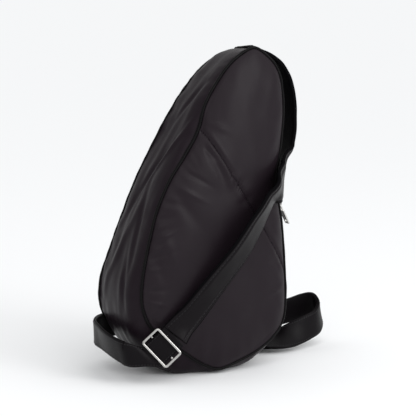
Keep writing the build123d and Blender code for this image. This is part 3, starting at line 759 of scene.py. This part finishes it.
ob = loft("webbing_strip", run, web_profile)
place(ob, "webbing", nodes=["strap_webbing"])
for sgn, nm in ((-1, "top"), (1, "low")):
    pts = [r[0] + r[1] * sgn * (WW / 2 - 2.4) + r[2] * (WT / 2 - 0.05) for r in run[:26 + len(F_) - 1]]
    stitches("webbing_stitch_" + nm, pts, [r[2] for r in run], length=2.4, pitch=3.6, r=0.36)


# ---------------------------------------------------------------- metal rings
def ring_path(c, ax, ay, length, short, r, rad, n=10):
    hx, hy = length / 2 - r, short / 2 - r
    pts = []
    for sx, sy, a0 in ((1, 1, 0), (-1, 1, 90), (-1, -1, 180), (1, -1, 270)):
        for k in range(n + 1):
            a = math.radians(a0 + 90 * k / n)
            pts.append(c + ax * (sx * (hx - rad) + rad * math.cos(a)) + ay * (sy * (hy - rad) + rad * math.sin(a)))
    dense = []
    for a, b in zip(pts, pts[1:] + pts[:1]):
        m = max(1, int((b - a).length / 2.0))
        dense += [a.lerp(b, j / m) for j in range(m)]
    return dense


FRAME_N = 0.9 + 0.9 + 1.6
ob = tube("adjuster_ring", ring_path(BC + BN * FRAME_N, BW, BT, 43.0, 28.0, 1.6, 2.4), 1.6, seg=20)
place(ob, "nickel", body="adjuster", nodes=["adjuster_frame"])
for name, body_name in (("adjuster_bar", "adjuster"), ("zip_slider", "zip_slider"), ("zip_pull", "zip_pull")):
    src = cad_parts[name]
    ob = bpy.data.objects.new(name + "_metal", src.data.copy())
    bpy.context.scene.collection.objects.link(ob)
    bv = ob.modifiers.new("edge", "BEVEL")
    bv.width = 0.00025
    bv.segments = 3
    bv.limit_method = "ANGLE"
    place(ob, "nickel", body=body_name, nodes=[name])
ring_n = RT.cross(RW).normalized()
rc = RB + RT * (20.2 / 2 - 1.6)
ob = tube("anchor_wire", ring_path(rc, RW, RT, 41.0, 20.2, 1.6, 2.4), 1.6, seg=20)
place(ob, "nickel", body="anchor_ring", nodes=["anchor_ring"])

# sewn loop on the adjuster bar and the lower tab, as folded webbing
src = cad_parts["adjuster_loop"]
ob = bpy.data.objects.new("adjuster_loop_webbing", src.data.copy())
bpy.context.scene.collection.objects.link(ob)
place(ob, "webbing", body="adjuster", nodes=["adjuster_loop"])
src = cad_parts["anchor_tab"]
ob = bpy.data.objects.new("anchor_tab_webbing", src.data.copy())
bpy.context.scene.collection.objects.link(ob)
place(ob, "webbing", nodes=["anchor_tab"])


# ------------------------------------------------------------------------ zip
def teeth(name, side):
    V, F = [], []
    z0 = -4.65
    y = ZIP_LOW + (0.9 if side < 0 else 1.5)
    while y < ZIP_HIGH - 0.6:
        prof = []
        for q in range(8):
            w = 2 * math.pi * q / 8
            prof.append((0.48 * math.cos(w), 0.95 + 0.95 * math.sin(w)))
        xs = [side * 0.62, side * 0.9, side * 2.7, side * 2.98]
        sc = [0.6, 1.0, 1.0, 0.6]
        base = len(V)
        for x, k in zip(xs, sc):
            for a, b in prof:
                V.append(zip_at(x, y + a * k, z0 + 0.95 + (b - 0.95) * k))
        for j in range(3):
            for q in range(8):
                F.append((base + j * 8 + q, base + j * 8 + (q + 1) % 8,
                          base + (j + 1) * 8 + (q + 1) % 8, base + (j + 1) * 8 + q))
        F.append(tuple(base + q for q in range(8))[::-1])
        F.append(tuple(base + 24 + q for q in range(8)))
        y += 1.2
    ob = mesh_obj(name, V, F)
    recalc(ob)
    return ob


place(teeth("coil_front", -1), "coil", nodes=["zip_coil_front"])
place(teeth("coil_back", 1), "coil", nodes=["zip_coil_back"])

shown = {"zip_tape_front": "tape", "zip_tape_back": "tape", "zip_stop_low": "coil",
         "zip_stop_high": "coil", "lining": "lining", "inner_pocket": "lining",
         "base_board": "inside"}
for n, m in shown.items():
    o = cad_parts[n]
    o.data.materials.clear()
    o.data.materials.append(M[m])

# ----------------------------------------------------------------- the stage
me = bpy.data.meshes.new("floor")
me.from_pydata([(-60, -20, 0), (60, -20, 0), (60, 200, 0), (-60, 200, 0)], [], [(0, 1, 2, 3)])
floor = bpy.data.objects.new("floor", me)
bpy.context.scene.collection.objects.link(floor)
fm = bpy.data.materials.new("floor")
fm.use_nodes = True
fb = fm.node_tree.nodes["Principled BSDF"]
fb.inputs["Base Color"].default_value = (0.93, 0.94, 0.95, 1)
fb.inputs["Roughness"].default_value = 1.0
fb.inputs["Specular IOR Level"].default_value = 0.0
me.materials.append(fm)

world = bpy.data.worlds.new("studio")
bpy.context.scene.world = world
world.use_nodes = True
world.node_tree.nodes["Background"].inputs[0].default_value = (1.0, 1.0, 1.0, 1)
world.node_tree.nodes["Background"].inputs[1].default_value = 0.73


def area(name, loc, aim, size, power, color=(1, 1, 1)):
    d = bpy.data.lights.new(name, "AREA")
    d.shape = "RECTANGLE"
    d.size, d.size_y = size
    d.energy = power
    d.color = color
    o = bpy.data.objects.new(name, d)
    o.location = loc
    o.rotation_mode = "QUATERNION"
    o.rotation_quaternion = (Vector(aim) - Vector(loc)).to_track_quat("-Z", "Y")
    bpy.context.scene.collection.objects.link(o)
    return o


sun_d = bpy.data.lights.new("sun", "SUN")
sun_d.energy = 1.0
sun_d.angle = math.radians(85)
sun = bpy.data.objects.new("sun", sun_d)
sun.rotation_mode = "QUATERNION"
sun.rotation_quaternion = Vector((-0.30, 0.90, -1.30)).to_track_quat("-Z", "Y")
bpy.context.scene.collection.objects.link(sun)
area("left_box", (-0.9, -1.1, 1.0), (0, 0, 0.22), (0.9, 0.9), 1.5)
area("front_box", (0.8, -1.5, 0.9), (0, 0, 0.25), (0.7, 0.9), 9)

# --------------------------------------------------------------------- camera
AZ, EL = math.radians(-28.0), math.radians(9.0)
TGT = Vector((0, 0, 0.190))
back = Vector((math.sin(AZ) * math.cos(EL), -math.cos(AZ) * math.cos(EL), math.sin(EL)))
cam_d = bpy.data.cameras.new("camera")
cam = bpy.data.objects.new("camera", cam_d)
bpy.context.scene.collection.objects.link(cam)
cam.location = TGT + back * 1.9
cam.rotation_mode = "QUATERNION"
cam.rotation_quaternion = (-back).to_track_quat("-Z", "Y")
cam_d.sensor_width = 36.0
cam_d.lens = 1532.26 / 416 * 36.0
cam_d.shift_x = (208 - 190.0) / 416
cam_d.shift_y = (214.6 - 208) / 416
bpy.context.scene.camera = cam
bpy.context.scene.view_settings.view_transform = "Standard"
